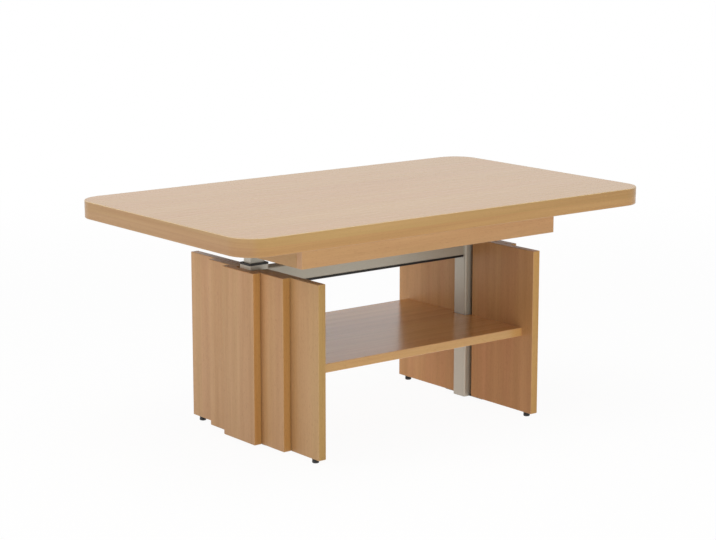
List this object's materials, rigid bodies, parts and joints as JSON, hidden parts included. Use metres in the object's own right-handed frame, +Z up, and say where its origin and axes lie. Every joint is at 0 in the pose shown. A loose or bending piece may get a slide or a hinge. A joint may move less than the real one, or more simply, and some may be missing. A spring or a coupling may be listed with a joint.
{
  "type": "convertible coffee dining table",
  "caption": "Height-adjustable wooden coffee table whose doubled top lifts on telescopic columns, swivels and folds open into a dining table, with a shelf between stepped panel legs.",
  "frame": {"origin": "on the floor, under the middle of the closed top", "axes": "+X along the top's length, +Y across it towards the fold hinges at the back edge, +Z up"},
  "size_m": [1.1, 0.65, 0.515],
  "materials": {
    "wood": "satin beech veneer",
    "edging": "satin beech edging",
    "raw_board": "matte uncoated",
    "silver_steel": "silver powder coat",
    "chrome_rod": "polished",
    "dark_steel": "black satin coat",
    "zinc_steel": "zinc plated",
    "black_plastic": "matte black",
    "felt": "pressed felt"
  },
  "bodies": {
    "base": {"cheek_panel_left_back": "wood", "cheek_panel_left_front": "wood", "cheek_panel_right_back": "wood", "cheek_panel_right_front": "wood", "second_board_left_back": "wood", "second_board_left_front": "wood", "second_board_right_back": "wood", "second_board_right_front": "wood", "cover_board_left": "wood", "cover_board_right": "wood", "column_left": "silver_steel", "column_right": "silver_steel", "column_plugs": "dark_steel", "foot_lugs": "dark_steel", "guide_collars": "black_plastic", "stretcher": "silver_steel", "shelf": "wood", "shelf_pins": "zinc_steel", "floor_glides": "black_plastic", "gas_cylinder_left": "dark_steel", "gas_cylinder_right": "dark_steel"},
    "lift_frame": {"inner_tube_left": "silver_steel", "inner_tube_right": "silver_steel", "slide_shoes": "black_plastic", "gas_rod_left": "chrome_rod", "gas_rod_right": "chrome_rod", "rod_nuts": "zinc_steel", "cross_arm_left": "dark_steel", "cross_arm_right": "dark_steel", "carrier_board": "raw_board", "apron_front": "wood", "apron_back": "wood", "apron_left": "wood", "apron_right": "wood", "slide_pads": "felt", "pivot_bushing": "black_plastic"},
    "release_lever": {"release_shaft": "zinc_steel", "release_fingers": "zinc_steel", "hand_lever": "black_plastic"},
    "valves": {"valve_pins": "zinc_steel"},
    "lower_leaf": {"lower_leaf_board": "wood", "lower_leaf_edging": "edging", "pivot_flange": "zinc_steel", "pivot_nut": "zinc_steel", "stop_peg": "zinc_steel", "lower_hinge_plates": "zinc_steel", "hinge_pins": "zinc_steel"},
    "upper_leaf": {"upper_leaf_board": "wood", "upper_leaf_edging": "edging", "upper_hinge_plates": "zinc_steel"}
  },
  "joints": [
    {"name": "top_lift", "type": "slide", "parent": "base", "child": "lift_frame", "axis": [0, 0, 1], "range_m": [0, 0.225]},
    {"name": "top_swivel", "type": "hinge", "parent": "lift_frame", "child": "lower_leaf", "pos_m": [0.16125, 0.16125, 0.477], "axis": [0, 0, 1], "range_deg": [0, 90]},
    {"name": "leaf_fold", "type": "hinge", "parent": "lower_leaf", "child": "upper_leaf", "pos_m": [0, 0.3225, 0.496], "axis": [-1, 0, 0], "range_deg": [0, 180]},
    {"name": "height_release", "type": "hinge", "parent": "lift_frame", "child": "release_lever", "pos_m": [0, 0.018, 0.4488], "axis": [1, 0, 0], "range_deg": [0, 6], "stiffness_Nm_per_rad": 6, "springref_deg": -5.73},
    {"name": "valve_press", "type": "slide", "parent": "lift_frame", "child": "valves", "axis": [0, 0, -1], "range_m": [0, 0.002]}
  ],
  "couplings": [
    {"joint": "valve_press", "follows": "height_release", "m_per_rad": 0.018}
  ]
}
